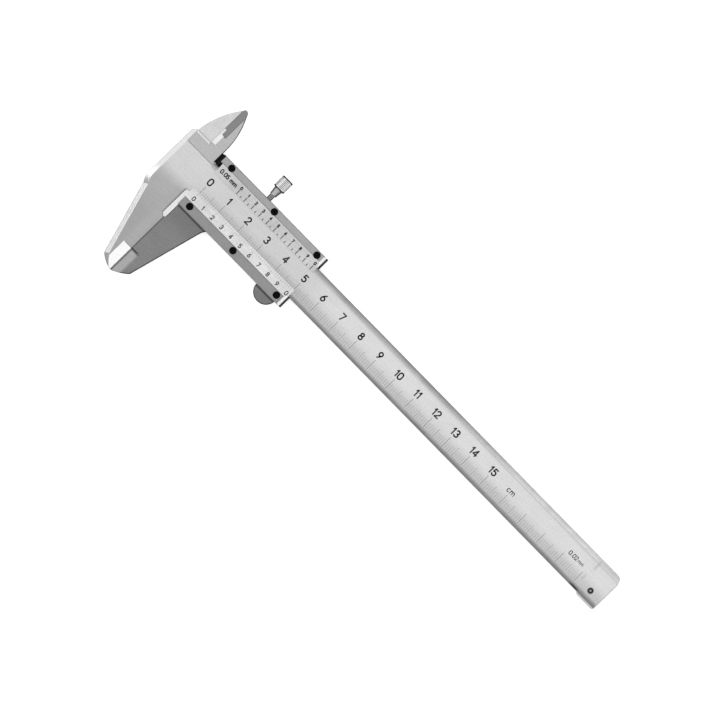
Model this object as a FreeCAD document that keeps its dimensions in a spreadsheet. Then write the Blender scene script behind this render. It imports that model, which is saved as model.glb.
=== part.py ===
import FreeCAD, Part
import math
import os
import Sketcher

# Vernier caliper of 150 mm, lying on its back: +Z out of the scales, +X along the beam
# towards the tail, +Y towards the inside jaws.  The pieces are drawn from the instrument's
# own datum, where x = 0 is the zero line of the main scale, y = 0 is the line of its big
# figures and z = 0 is the surface the caliper lies on.  The sheet's frame_x and frame_y
# then bring the middle of the whole instrument to the origin.

DIMENSIONS = (
    # alias, millimetres, what it is
    ("frame_x", 96.9, "middle of the whole length, from the scale's zero"),
    ("frame_y", -10.5, "middle of the whole height, from the line of figures"),
    ("back_plate", 1.5, "thickness of the slider behind the beam"),
    ("beam_back", 1.56, "height of the beam's back, a running clearance above the slider"),
    ("beam_front", 5.16, "height of the beam's scale face"),
    ("plate_seat", 5.22, "height of the rails, on which the vernier plates sit"),
    ("plate_top", 6.62, "height of the flat bands of the vernier plates"),
    ("slide_gap", 0.06, "running clearance between beam and slider"),
    ("beam_top", 6.1, "upper edge of the beam"),
    ("beam_bottom", -9.15, "lower edge of the beam"),
    ("beam_end", 212.3, "tail end of the beam"),
    ("tail_radius", 2.2, "round of the beam's corner at the tail"),
    ("edge_bevel", 1.9, "width of the bevels along the scale face"),
    ("edge_fall", 0.55, "fall of the bevels along the scale face"),
    ("edge_break", 0.3, "small break of a sharp edge"),
    ("head_left", -19.1, "outer edge of the head"),
    ("head_top", 10.4, "upper edge of the head's front layer"),
    ("head_corner", 1.6, "slanted corner of the head"),
    ("head_bevel", 1.8, "width of the bevel down the head and the fixed jaw"),
    ("head_bevel_fall", 0.9, "fall of that bevel"),
    ("brow_wide", 0.9, "width of the bevel along the head's upper edge"),
    ("brow_fall", 0.4, "fall of that bevel"),
    ("recess_left", -17.2, "left end of the lowered field of the head"),
    ("recess_bottom", 4.9, "lower end of the lowered field of the head"),
    ("recess_right", -4.3, "right end of the lowered field of the head"),
    ("recess_deep", 0.3, "depth of the lowered field"),
    ("layer_back", 3.4, "height where the head's front layer starts"),
    ("arm_front", 3.3, "front of the slider's arm, which runs behind the head"),
    ("arm_back", 1.6, "back of the slider's arm"),
    ("arm_bottom", 6.3, "lower edge of the arm, just above the beam"),
    ("arm_top", 10.8, "upper edge of the arm"),
    ("jaw_face", -3.31, "contact face of the fixed outside jaw"),
    ("jaw_closed", -3.29, "contact face of the movable outside jaw, closed"),
    ("jaw_relief", -4.7, "side of the relief between the outside jaws"),
    ("relief_top", -8.6, "where the relief's round top starts"),
    ("relief_bottom", -20.4, "where the fixed jaw's relief ends"),
    ("relief_radius", 1.15, "round top of the relief"),
    ("relief_right", -2.5, "right side of the relief in the beam"),
    ("jaw_shoulder", -13.2, "where the fixed jaw leaves the head's edge"),
    ("jaw_waist_x", -17.6, "fixed jaw, start of its straight back"),
    ("jaw_waist_y", -17.8, "fixed jaw, start of its straight back"),
    ("jaw_heel_x", -9.3, "fixed jaw, end of its straight back"),
    ("jaw_heel_y", -46.3, "fixed jaw, end of its straight back"),
    ("jaw_tip", -49.3, "tips of the outside jaws"),
    ("shoulder_radius", 9.0, "round from the head into the fixed jaw"),
    ("jaw_tip_radius", 12.0, "round of the fixed jaw's tip"),
    ("slide_tip_radius", 30.0, "round of the movable jaw's tip"),
    ("thin_top", -38.0, "where the thinned tips of the outside jaws start"),
    ("thin_wide", 3.8, "width of the thinned tips"),
    ("thin_deep", 1.15, "how much is taken off each side of a thinned tip"),
    ("slide_jaw_left", -2.65, "left end of the slider frame"),
    ("slide_jaw_right", 11.9, "movable jaw at the rail"),
    ("slide_jaw_back_x", 10.7, "movable jaw, start of its straight back"),
    ("slide_jaw_back_y", -16.2, "movable jaw, start of its straight back"),
    ("slide_jaw_heel_x", 3.2, "movable jaw, end of its straight back"),
    ("slide_jaw_heel_y", -45.4, "movable jaw, end of its straight back"),
    ("slide_jaw_toe", -2.5, "movable jaw, flat of its tip"),
    ("slide_jaw_step", -21.3, "where the movable jaw's contact face starts"),
    ("horn_edge", -10.6, "measuring edges of the inside jaws, closed"),
    ("horn_tip", 28.3, "tips of the inside jaws"),
    ("horn_radius", 1.2, "round of the tips of the inside jaws"),
    ("horn_right", -4.5, "back of the fixed inside jaw at its root"),
    ("horn_root", 12.0, "where the backs of the inside jaws start to curve"),
    ("horn_right_tip_x", -8.0, "fixed inside jaw, end of its curved back"),
    ("horn_right_tip_y", 26.6, "fixed inside jaw, end of its curved back"),
    ("horn_right_radius", 30.0, "curved back of the fixed inside jaw"),
    ("horn_left", -17.2, "back of the movable inside jaw at its root"),
    ("horn_left_tip_x", -11.2, "movable inside jaw, end of its curved back"),
    ("horn_left_tip_y", 26.6, "movable inside jaw, end of its curved back"),
    ("horn_left_radius", 36.0, "curved back of the movable inside jaw"),
    ("notch_right", -8.8, "side of the relief at the root of the fixed inside jaw"),
    ("notch_bottom", 10.9, "bottom of that relief"),
    ("notch_middle", 15.5, "where that relief steps back to its narrow end"),
    ("notch_step", -9.8, "side of the narrow end"),
    ("notch_top", 17.9, "top of that relief"),
    ("knife_wide", 2.6, "width of the knife bevels of the inside jaws"),
    ("knife_land", 0.2, "thickness left at the measuring edges"),
    ("slider_right", 51.2, "right end of the slider frame"),
    ("rail_left", -3.7, "left end of the upper rail"),
    ("rail_top", 11.05, "upper edge of the slider"),
    ("rail_bottom", -14.1, "lower edge of the slider"),
    ("gib_wall", 7.8, "inner wall of the upper rail"),
    ("thumb_x", 43.4, "middle of the thumb rest"),
    ("thumb_radius", 4.75, "radius of the thumb rest"),
    ("plate_right", 50.4, "right end of the vernier plates"),
    ("upper_plate_left", -2.8, "left end of the upper plate's flat band"),
    ("upper_scale_left", -1.7, "left end of the upper plate's scale"),
    ("upper_fold", 8.1, "fold between the upper plate's flat band and its scale"),
    ("upper_edge", 3.6, "reading edge of the upper plate"),
    ("lower_plate_left", -3.0, "left end of the lower plate"),
    ("lower_fold", -10.2, "fold between the lower plate's flat band and its scale"),
    ("lower_edge", -5.7, "reading edge of the lower plate"),
    ("scale_edge", 0.34, "thickness of the reading edges"),
    ("plate_end_bevel", 1.1, "width of the bevel across the plates' right ends"),
    ("plate_end_fall", 0.45, "fall of that bevel"),
    ("plate_corner", 1.0, "round corner of the lower plate"),
    ("screw_head", 1.4, "radius of the plate screws' heads"),
    ("screw_head_high", 0.65, "height of the plate screws' heads"),
    ("screw_shank", 0.98, "radius of the plate screws' shanks"),
    ("screw_hole", 1.0, "radius of the holes for the plate screws"),
    ("screw_long", 4.4, "length of the plate screws' shanks"),
    ("slot_deep", 0.35, "depth of a screw slot"),
    ("upper_screw_y", 9.25, "line of the upper plate screws"),
    ("lower_screw_y", -11.8, "line of the lower plate screws"),
    ("upper_screw_left", 1.8, "first upper plate screw"),
    ("upper_screw_middle", 24.4, "second upper plate screw"),
    ("upper_screw_right", 46.95, "third upper plate screw"),
    ("lower_screw_left", 1.0, "first lower plate screw"),
    ("lower_screw_middle", 23.9, "second lower plate screw"),
    ("lower_screw_right", 47.0, "third lower plate screw"),
    ("clamp_x", 19.45, "axis of the clamp screw"),
    ("clamp_z", 3.4, "height of the clamp screw's axis"),
    ("clamp_hole", 1.1, "radius of the clamp screw's hole"),
    ("clamp_stem", 1.05, "radius of the clamp screw's stem"),
    ("clamp_spigot", 0.5, "radius of the spigot at the stem's tip"),
    ("clamp_neck", 1.35, "radius of the clamp screw's neck at the stem"),
    ("clamp_collar", 1.8, "radius of the clamp screw's neck at the head"),
    ("clamp_head", 2.5, "radius of the clamp screw's knurled head"),
    ("spigot_tip", 8.0, "tip of the clamp screw's spigot"),
    ("stem_tip", 8.6, "tip of the clamp screw's stem"),
    ("neck_start", 13.2, "where the clamp screw's neck starts"),
    ("head_start", 16.2, "where the clamp screw's head starts"),
    ("head_end", 21.4, "end of the clamp screw's head"),
    ("head_break", 0.25, "bevel at both ends of the clamp screw's head"),
    ("head_rim", 0.6, "width of the plain rims at both ends of the knurl"),
    ("knurl_deep", 0.22, "depth of the knurl"),
    ("knurl_over", 0.1, "how far the knurling tool stands out of the head"),
    ("knurl_count", 28, "grooves of the knurl"),
    ("shoe_bottom", 7.3, "face of the clamp shoe"),
    ("shoe_top", 8.5, "top of the clamp shoe"),
    ("shoe_bore", 0.55, "radius of the clamp shoe's bore"),
    ("shoe_bore_bottom", 7.9, "bottom of the clamp shoe's bore"),
    ("gib_left", -1.2, "left end of the gib strip"),
    ("gib_right", 49.6, "right end of the gib strip"),
    ("gib_near", 6.15, "face of the gib strip that guides the beam"),
    ("gib_far", 7.2, "back of the gib strip"),
    ("gib_low", 1.65, "lower edge of the gib strip and its spring"),
    ("gib_high", 5.1, "upper edge of the gib strip and its spring"),
    ("spring_left", 1.0, "left end of the leaf spring"),
    ("spring_right", 47.4, "right end of the leaf spring"),
    ("spring_thick", 0.2, "thickness of the leaf spring"),
    ("spring_hole", 1.25, "radius of the hole that the clamp shoe passes"),
    ("gib_screw_left", 9.0, "first gib set screw"),
    ("gib_screw_right", 41.0, "second gib set screw"),
    ("gib_screw_hole", 0.9, "radius of the gib set screws' holes"),
    ("gib_screw_radius", 0.88, "radius of the gib set screws"),
    ("gib_screw_tip", 7.72, "tips of the gib set screws"),
    ("gib_screw_end", 10.75, "outer ends of the gib set screws"),
    ("rod_y", -1.5, "middle of the depth rod"),
    ("rod_thick", 1.3, "thickness of the depth rod"),
    ("rod_left", 2.0, "end of the depth rod inside the slider"),
    ("groove_left", -1.0, "start of the groove for the depth rod"),
    ("groove_top", 2.95, "height of the groove's floor"),
    ("rod_notch_long", 4.0, "length of the notch at the depth rod's measuring end"),
    ("rod_notch_wide", 1.3, "width of that notch"),
    ("rivet_left", 8.0, "first rivet of the depth rod"),
    ("rivet_right", 42.0, "second rivet of the depth rod"),
    ("rivet_shank", 0.78, "radius of the rivets"),
    ("rivet_hole", 0.8, "radius of the rivets' holes"),
    ("rivet_head", 1.3, "radius of the rivets' countersunk heads"),
    ("rivet_head_high", 0.6, "height of the rivets' countersunk heads"),
    ("tail_left", 203.8, "left end of the tail plate"),
    ("tail_right", 212.9, "right end of the tail plate"),
    ("tail_low", -10.0, "lower end of the tail plate"),
    ("tail_high", 4.3, "upper end of the tail plate"),
    ("tail_corner", 1.1, "round corners of the tail plate"),
    ("tail_channel", 1.38, "height of the channel's floor in the tail plate"),
    ("tail_screw_x", 207.0, "tail screw"),
    ("tail_screw_y", -5.3, "tail screw"),
    ("tail_bore", 1.15, "radius of the counterbore for the tail screw"),
    ("tail_bore_deep", 0.85, "depth of that counterbore"),
    ("tail_screw_head", 1.05, "radius of the tail screw's head"),
    ("tail_screw_low", 0.25, "tip of the tail screw"),
    ("tail_shank", 0.78, "radius of the tail screw's shank and of the tail pin"),
    ("tail_hole", 0.8, "radius of their holes"),
    ("tail_pin_x", 209.4, "tail pin"),
    ("tail_pin_y", 2.4, "tail pin"),
    ("tail_pin_low", 0.15, "lower end of the tail pin"),
    ("tail_pin_high", 3.9, "upper end of the tail pin"),
    ("half_groove", 1.86, "half the width of the groove for the depth rod"),
    ("half_rod", 1.8, "half the width of the depth rod"),
    ("half_slot", 0.22, "half the width of a screw slot"),
    ("half_beam_back", 0.78, "half the thickness of the tail plate"),
    ("spring_radius", 769.0, "bend of the leaf spring, which lifts its middle by 0.35"),
    ("flush", 0.04, "how far a flush head stays under its surface"),
    ("jaw_step", 0.6, "slant from the movable jaw's relief to its contact face"),
    ("jaw_short", 0.1, "how much shorter the movable outside jaw is than the fixed one"),
    ("set_point", 0.4, "bevel at the tips of the gib set screws"),
    ("fine_gap", 0.02, "clearance of pieces that lie close together"),
    ("arc_slack", 0.01, "how much a half or quarter round's radius exceeds its span"),
    ("over", 1.0, "how far a piece or a cut reaches into its neighbour"),
    ("through", 60.0, "long enough to cut through any piece crosswise"),
)

# Places that repeat: x and y of the plate screws, x of the rivets and gib set screws.
UPPER_SCREWS = [(x, "upper_screw_y")
                for x in ("upper_screw_left", "upper_screw_middle", "upper_screw_right")]
LOWER_SCREWS = [(x, "lower_screw_y")
                for x in ("lower_screw_left", "lower_screw_middle", "lower_screw_right")]
RIVETS = ["rivet_left", "rivet_right"]
GIB_SCREWS = ["gib_screw_left", "gib_screw_right"]

doc = FreeCAD.newDocument("vernier_caliper")
sheet = doc.addObject("Spreadsheet::Sheet", "Params")
for row, (alias, number, note) in enumerate(DIMENSIONS, start=1):
    sheet.set("A%d" % row, note)
    sheet.set("B%d" % row, str(number))
    sheet.setAlias("B%d" % row, alias)
doc.recompute()


# --- formulas on the sheet -------------------------------------------------------------

def value(formula):
    """Number of a sum of sheet names and numbers, such as 'beam_top - edge_bevel'."""
    total = 0.0
    sign = 1
    for word in formula.split():
        if word in ("+", "-"):
            sign = -1 if word == "-" else 1
        elif word[0].isdigit():
            total += sign * float(word)
        else:
            total += sign * float(getattr(sheet, word))
    return total


def bound(formula):
    """The same sum as an expression that FreeCAD can follow."""
    words = []
    for word in formula.split():
        plain = word in ("+", "-") or word[0].isdigit()
        words.append(word if plain else "Params." + word)
    return " ".join(words)


# --- sketches --------------------------------------------------------------------------

class Bend:
    """Stands between two corners of an outline: the edge there is an arc.

    side is +1 when the arc's centre lies to the left of the way round, -1 to the right.
    """

    def __init__(self, radius, side):
        self.radius = radius
        self.side = side


def make_body(name):
    body = doc.addObject("PartDesign::Body", name)
    body.Label = name
    return body


def make_sketch(body, role, name, lift="0"):
    """Empty sketch on one of the body's origin planes, lifted along its normal."""
    sketch = body.newObject("Sketcher::SketchObject", name)
    sketch.AttachmentSupport = (origin_item(body, role), "")
    sketch.MapMode = "FlatFace"
    sketch.setExpression("AttachmentOffset.Base.z", bound(lift))
    return sketch


def pin_point(sketch, geometry, spot, place):
    """Tie one point of a sketch to a pair of formulas, measured from the origin."""
    for kind, formula in zip(("DistanceX", "DistanceY"), place):
        index = sketch.addConstraint(
            Sketcher.Constraint(kind, -1, 1, geometry, spot, value(formula)))
        sketch.setExpression("Constraints[%d]" % index, bound(formula))


def set_radius(sketch, geometry, formula):
    index = sketch.addConstraint(Sketcher.Constraint("Radius", geometry, value(formula)))
    sketch.setExpression("Constraints[%d]" % index, bound(formula))


def arc_between(start, end, radius, side):
    """Arc of a circle, counter-clockwise as FreeCAD keeps it, from start to end."""
    chord = end - start
    rise = math.sqrt(max(radius ** 2 - (chord.Length / 2) ** 2, 0.0))
    centre = (start + end) / 2
    centre += FreeCAD.Vector(-chord.y, chord.x, 0).normalize() * rise * side
    first, last = (start, end) if side > 0 else (end, start)
    angles = [math.atan2(point.y - centre.y, point.x - centre.x) for point in (first, last)]
    circle = Part.Circle(centre, FreeCAD.Vector(0, 0, 1), radius)
    return Part.ArcOfCircle(circle, angles[0], angles[1])


def draw_outline(sketch, path):
    """Closed outline through corners, each a pair of formulas; a Bend makes an edge an arc."""
    corners = [item for item in path if not isinstance(item, Bend)]
    bends = {}
    for position, item in enumerate(path):
        if isinstance(item, Bend):
            before = sum(1 for other in path[:position] if not isinstance(other, Bend))
            bends[before - 1] = item
    points = [FreeCAD.Vector(value(x), value(y), 0) for x, y in corners]
    ends = []
    for number, start in enumerate(points):
        end = points[(number + 1) % len(points)]
        bend = bends.get(number)
        if bend is None:
            geometry = sketch.addGeometry(Part.LineSegment(start, end), False)
            ends.append((geometry, 1, 2))
            continue
        arc = arc_between(start, end, value(bend.radius), bend.side)
        geometry = sketch.addGeometry(arc, False)
        ends.append((geometry, 1, 2) if bend.side > 0 else (geometry, 2, 1))
        set_radius(sketch, geometry, bend.radius)
    for number, (geometry, first, last) in enumerate(ends):
        following, start_of_next, _ = ends[(number + 1) % len(ends)]
        sketch.addConstraint(
            Sketcher.Constraint("Coincident", geometry, last, following, start_of_next))
        pin_point(sketch, geometry, first, corners[number])


def draw_box(sketch, left, right, bottom, top):
    draw_outline(sketch, [(left, bottom), (right, bottom), (right, top), (left, top)])


def draw_circle(sketch, x, y, radius):
    centre = FreeCAD.Vector(value(x), value(y), 0)
    circle = Part.Circle(centre, FreeCAD.Vector(0, 0, 1), value(radius))
    geometry = sketch.addGeometry(circle, False)
    set_radius(sketch, geometry, radius)
    pin_point(sketch, geometry, 3, (x, y))


# --- features --------------------------------------------------------------------------

def pad(body, sketch, length, backwards=False):
    feature = body.newObject("PartDesign::Pad", sketch.Name + "_pad")
    feature.Profile = sketch
    feature.setExpression("Length", bound(length))
    feature.Reversed = backwards
    sketch.Visibility = False
    doc.recompute()
    return feature


def cut(body, sketch, length, backwards=False):
    """Pocket that has to take something off."""
    before = body.Shape.Volume
    feature = body.newObject("PartDesign::Pocket", sketch.Name + "_pocket")
    feature.Profile = sketch
    feature.setExpression("Length", bound(length))
    feature.Reversed = backwards
    doc.recompute()
    if not body.Shape.isValid() or body.Shape.Volume > before - 1e-6:
        raise RuntimeError("%s cuts nothing" % feature.Name)
    return feature


def edges_where(shape, test):
    """Names of the edges of a shape whose middle point and length pass the test."""
    names = []
    for number, edge in enumerate(shape.Edges, start=1):
        middle = edge.valueAt((edge.FirstParameter + edge.LastParameter) / 2)
        if test(middle, edge):
            names.append("Edge%d" % number)
    return names


def bevel(body, test, width, fall=None, flip=False):
    """Chamfer of the edges that pass the test: even, or with its own width and fall."""
    base = body.Tip
    names = edges_where(base.Shape, test)
    if not names:
        raise RuntimeError("no edge to bevel on %s" % body.Label)
    before = body.Shape.Volume
    feature = body.newObject("PartDesign::Chamfer", body.Name + "_bevel")
    feature.Base = (base, names)
    feature.Refine = False
    feature.setExpression("Size", bound(width))
    if fall:
        feature.ChamferType = "Two distances"
        feature.setExpression("Size2", bound(fall))
        feature.FlipDirection = flip
    doc.recompute()
    if not body.Shape.isValid() or body.Shape.Volume > before - 1e-6:
        raise RuntimeError("bevel failed on %s" % body.Label)
    return feature


def round_off(body, test, radius):
    base = body.Tip
    names = edges_where(base.Shape, test)
    if not names:
        raise RuntimeError("no edge to round on %s" % body.Label)
    feature = body.newObject("PartDesign::Fillet", body.Name + "_round")
    feature.Base = (base, names)
    feature.setExpression("Radius", bound(radius))
    doc.recompute()
    if not feature.isValid():
        raise RuntimeError("fillet failed on %s" % body.Label)
    return feature


def revolve(body, sketch, axis):
    feature = body.newObject("PartDesign::Revolution", sketch.Name + "_turned")
    feature.Profile = sketch
    feature.ReferenceAxis = (sketch, [axis])
    feature.Angle = 360
    doc.recompute()
    return feature


def place(body, x="0", y="0", z="0"):
    """Set a body down at datum coordinates, shifted into the instrument's frame."""
    body.setExpression("Placement.Base.x", bound(x + " - frame_x"))
    body.setExpression("Placement.Base.y", bound(y + " - frame_y"))
    body.setExpression("Placement.Base.z", bound(z))


def origin_item(body, role):
    return next(item for item in body.Origin.OriginFeatures if item.Role == role)


def near(number, formula, tolerance=0.02):
    return abs(number - value(formula)) < tolerance


# --- the beam --------------------------------------------------------------------------

def on_front(middle):
    return near(middle.z, "beam_front")


def thin_tip(body, name, thick_side, thin_side):
    """Slant both faces of an outside jaw's tip towards its contact face."""
    for face, depth, layer in (
            ("beam_front", "beam_front - thin_deep", "front"),
            ("beam_back", "beam_back + thin_deep", "back")):
        wedge = make_sketch(body, "XZ_Plane", name + "_" + layer, "0 - thin_top")
        corners = [(thick_side, face), (thin_side, face), (thin_side, depth)]
        draw_outline(wedge, corners)
        cut(body, wedge, "through", backwards=True)


def make_main_beam():
    """Beam, head, fixed outside jaw and fixed inside jaw: one ground piece of steel."""
    body = make_body("main_beam")

    outline = make_sketch(body, "XY_Plane", "beam_outline", "beam_back")
    draw_outline(outline, [
        ("head_left", "beam_top"),
        ("head_left", "jaw_shoulder"),
        Bend("shoulder_radius", 1),
        ("jaw_waist_x", "jaw_waist_y"),
        ("jaw_heel_x", "jaw_heel_y"),
        Bend("jaw_tip_radius", 1),
        ("jaw_face", "jaw_tip"),
        ("jaw_face", "relief_bottom - relief_radius"),
        ("jaw_relief", "relief_bottom"),
        ("jaw_relief", "relief_top"),
        Bend("relief_radius", -1),
        ("relief_right", "relief_top"),
        ("relief_right", "beam_bottom"),
        ("beam_end", "beam_bottom"),
        ("beam_end", "beam_top - tail_radius"),
        Bend("tail_radius", 1),
        ("beam_end - tail_radius", "beam_top"),
    ])
    pad(body, outline, "beam_front - beam_back")

    layer = make_sketch(body, "XY_Plane", "head_layer", "layer_back")
    draw_outline(layer, [
        ("head_left", "recess_bottom"),
        ("horn_right", "recess_bottom"),
        ("horn_right", "horn_root"),
        Bend("horn_right_radius", 1),
        ("horn_right_tip_x", "horn_right_tip_y"),
        Bend("horn_radius + over", 1),
        ("horn_edge + horn_radius", "horn_tip"),
        Bend("horn_radius", 1),
        ("horn_edge", "horn_tip - horn_radius"),
        ("horn_edge", "notch_top"),
        ("notch_step", "notch_top"),
        ("notch_step", "notch_middle"),
        ("notch_right", "notch_middle"),
        ("notch_right", "notch_bottom"),
        ("horn_edge", "head_top"),
        ("head_left + head_corner", "head_top"),
        ("head_left", "head_top - head_corner"),
    ])
    pad(body, layer, "beam_front - layer_back")

    field = make_sketch(body, "XY_Plane", "head_field", "beam_front")
    draw_box(field, "recess_left", "recess_right", "recess_bottom", "horn_tip + over")
    cut(body, field, "recess_deep")

    def down_the_jaw(middle, edge):
        outer = middle.x < value("jaw_heel_x") + 0.1 or middle.y < value("jaw_heel_y")
        clear = middle.y < value("recess_bottom") - 1 and middle.x < value("jaw_face") - 0.1
        return on_front(middle) and outer and clear

    bevel(body, down_the_jaw, "head_bevel", "head_bevel_fall", flip=True)
    brow = make_sketch(body, "YZ_Plane", "head_brow", "recess_left")
    draw_outline(brow, [
        ("head_top - brow_wide", "beam_front - recess_deep"),
        ("head_top", "beam_front - recess_deep"),
        ("head_top", "beam_front - recess_deep - brow_fall"),
    ])
    cut(body, brow, "horn_edge - recess_left", backwards=True)
    for name, start, edge, inner in (
            ("upper_slant", "recess_right", "beam_top", "beam_top - edge_bevel"),
            ("lower_slant", "relief_right", "beam_bottom", "beam_bottom + edge_bevel")):
        slant = make_sketch(body, "YZ_Plane", name, start)
        corners = [(inner, "beam_front"), (edge, "beam_front"), (edge, "beam_front - edge_fall")]
        draw_outline(slant, corners)
        cut(body, slant, "beam_end - " + start + " + over", backwards=True)

    thin_tip(body, "fixed_tip", "jaw_face - thin_wide", "jaw_face")

    knife = make_sketch(body, "XZ_Plane", "fixed_knife", "0 - notch_middle")
    draw_outline(knife, [
        ("horn_edge + knife_wide", "beam_front - recess_deep"),
        ("horn_edge", "beam_front - recess_deep"),
        ("horn_edge", "layer_back + knife_land"),
    ])
    cut(body, knife, "through")

    groove = make_sketch(body, "YZ_Plane", "rod_groove", "groove_left")
    draw_box(groove, "rod_y - half_groove", "rod_y + half_groove", "beam_back - over", "groove_top")
    cut(body, groove, "beam_end - groove_left + over", backwards=True)

    screw_seat = make_sketch(body, "XY_Plane", "tail_counterbore", "beam_front")
    draw_circle(screw_seat, "tail_screw_x", "tail_screw_y", "tail_bore")
    cut(body, screw_seat, "tail_bore_deep")
    screw_way = make_sketch(body, "XY_Plane", "tail_screw_hole", "beam_front")
    draw_circle(screw_way, "tail_screw_x", "tail_screw_y", "tail_hole")
    cut(body, screw_way, "beam_front - beam_back")
    pin_way = make_sketch(body, "XY_Plane", "tail_pin_hole", "tail_pin_high")
    draw_circle(pin_way, "tail_pin_x", "tail_pin_y", "tail_hole")
    cut(body, pin_way, "tail_pin_high - beam_back")

    def back_of_inside_jaw(middle, edge):
        lowered = near(middle.z, "beam_front - recess_deep")
        return lowered and middle.x > value("notch_right") and middle.y > value("beam_top")

    bevel(body, back_of_inside_jaw, "edge_break")
    place(body)
    return body


# --- the slider ------------------------------------------------------------------------

def make_slider_frame():
    """Frame around the beam with the movable outside jaw, inside jaw and thumb rest."""
    body = make_body("slider_frame")

    block = make_sketch(body, "XY_Plane", "frame_block")
    draw_box(block, "slide_jaw_left", "slider_right", "rail_bottom", "rail_top")
    pad(body, block, "plate_seat")
    rail = make_sketch(body, "XY_Plane", "upper_rail_end")
    draw_box(rail, "rail_left", "slide_jaw_left + over", "beam_top + slide_gap", "rail_top")
    pad(body, rail, "plate_seat")

    channel = make_sketch(body, "YZ_Plane", "beam_channel", "slide_jaw_left")
    draw_box(channel, "beam_bottom - slide_gap", "gib_wall", "back_plate", "plate_seat + over")
    cut(body, channel, "slider_right - slide_jaw_left", backwards=True)

    jaw = make_sketch(body, "XY_Plane", "movable_jaw", "beam_back")
    draw_outline(jaw, [
        ("slide_jaw_left", "rail_bottom + over"),
        ("slide_jaw_left", "slide_jaw_step + jaw_step"),
        ("jaw_closed", "slide_jaw_step"),
        ("jaw_closed", "jaw_tip + jaw_short"),
        ("slide_jaw_toe", "jaw_tip + jaw_short"),
        Bend("slide_tip_radius", 1),
        ("slide_jaw_heel_x", "slide_jaw_heel_y"),
        ("slide_jaw_back_x", "slide_jaw_back_y"),
        Bend("thumb_radius", -1),
        ("slide_jaw_right", "rail_bottom"),
        ("slide_jaw_right", "rail_bottom + over"),
    ])
    pad(body, jaw, "beam_front - beam_back")

    thumb = make_sketch(body, "XY_Plane", "thumb_rest", "beam_back")
    draw_outline(thumb, [
        ("thumb_x - thumb_radius", "rail_bottom"),
        Bend("thumb_radius + arc_slack", 1),
        ("thumb_x + thumb_radius", "rail_bottom"),
        ("thumb_x + thumb_radius", "rail_bottom + over"),
        ("thumb_x - thumb_radius", "rail_bottom + over"),
    ])
    pad(body, thumb, "beam_front - beam_back")

    arm = make_sketch(body, "XY_Plane", "arm_and_inside_jaw", "arm_back")
    draw_outline(arm, [
        ("slide_jaw_left + over", "arm_bottom"),
        ("slide_jaw_left + over", "arm_top"),
        ("horn_edge", "arm_top"),
        ("horn_edge", "horn_tip - horn_radius"),
        Bend("horn_radius", 1),
        ("horn_left_tip_x", "horn_left_tip_y"),
        Bend("horn_left_radius", 1),
        ("horn_left", "horn_root"),
        ("horn_left", "arm_bottom"),
    ])
    pad(body, arm, "arm_front - arm_back")

    knife = make_sketch(body, "XZ_Plane", "movable_knife", "0 - notch_bottom")
    draw_outline(knife, [
        ("horn_edge - knife_wide", "arm_back"),
        ("horn_edge", "arm_back"),
        ("horn_edge", "arm_front - knife_land"),
    ])
    cut(body, knife, "through")

    thin_tip(body, "movable_tip", "jaw_closed + thin_wide", "jaw_closed")

    screws = make_sketch(body, "XY_Plane", "plate_screw_holes", "plate_seat")
    for x, y in UPPER_SCREWS + LOWER_SCREWS:
        draw_circle(screws, x, y, "screw_hole")
    cut(body, screws, "screw_long")

    rivets = make_sketch(body, "XY_Plane", "rivet_holes", "back_plate")
    for x in RIVETS:
        draw_circle(rivets, x, "rod_y", "rivet_hole")
    cut(body, rivets, "back_plate")
    heads = make_sketch(body, "XY_Plane", "rivet_seats")
    for x in RIVETS:
        draw_circle(heads, x, "rod_y", "rivet_head + fine_gap")
    cut(body, heads, "rivet_head_high", backwards=True)

    clamp = make_sketch(body, "XZ_Plane", "clamp_hole_outline", "0 - rail_top")
    draw_circle(clamp, "clamp_x", "clamp_z", "clamp_hole")
    cut(body, clamp, "rail_top - gib_wall", backwards=True)
    setters = make_sketch(body, "XZ_Plane", "gib_screw_holes", "0 - rail_top")
    for x in GIB_SCREWS:
        draw_circle(setters, x, "clamp_z", "gib_screw_hole")
    cut(body, setters, "rail_top - gib_wall", backwards=True)

    def jaw_and_thumb_outline(middle, edge):
        below_rail = middle.y < value("rail_bottom - fine_gap")
        return on_front(middle) and below_rail and middle.x > value("slide_jaw_left - fine_gap")

    bevel(body, jaw_and_thumb_outline, "edge_break")
    place(body)
    return body


def make_vernier_plate(name, outer, fold, reading, notch, screws, flip):
    """Flat strip along a rail whose inner part slants down to a reading edge on the beam."""
    body = make_body(name)
    section = make_sketch(body, "YZ_Plane", name + "_section", "lower_plate_left")
    draw_outline(section, [
        (outer, "plate_seat"),
        (outer, "plate_top"),
        (fold, "plate_top"),
        (reading, "plate_seat + scale_edge"),
        (reading, "plate_seat"),
    ])
    pad(body, section, "plate_right - lower_plate_left")

    trim = make_sketch(body, "XY_Plane", name + "_trim", "plate_top + over")
    draw_outline(trim, notch)
    cut(body, trim, "through")

    holes = make_sketch(body, "XY_Plane", name + "_holes", "plate_top + over")
    for x, y in screws:
        draw_circle(holes, x, y, "screw_hole")
    cut(body, holes, "through")

    bevel(body, lambda middle, edge: near(middle.z, "plate_top") and near(middle.x, "plate_right"),
          "plate_end_bevel", "plate_end_fall", flip=flip)
    bevel(body, lambda middle, edge: near(middle.z, "plate_top") and near(middle.y, outer),
          "edge_break")
    place(body)
    return body


# --- screws, pins and rivets -----------------------------------------------------------

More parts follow.
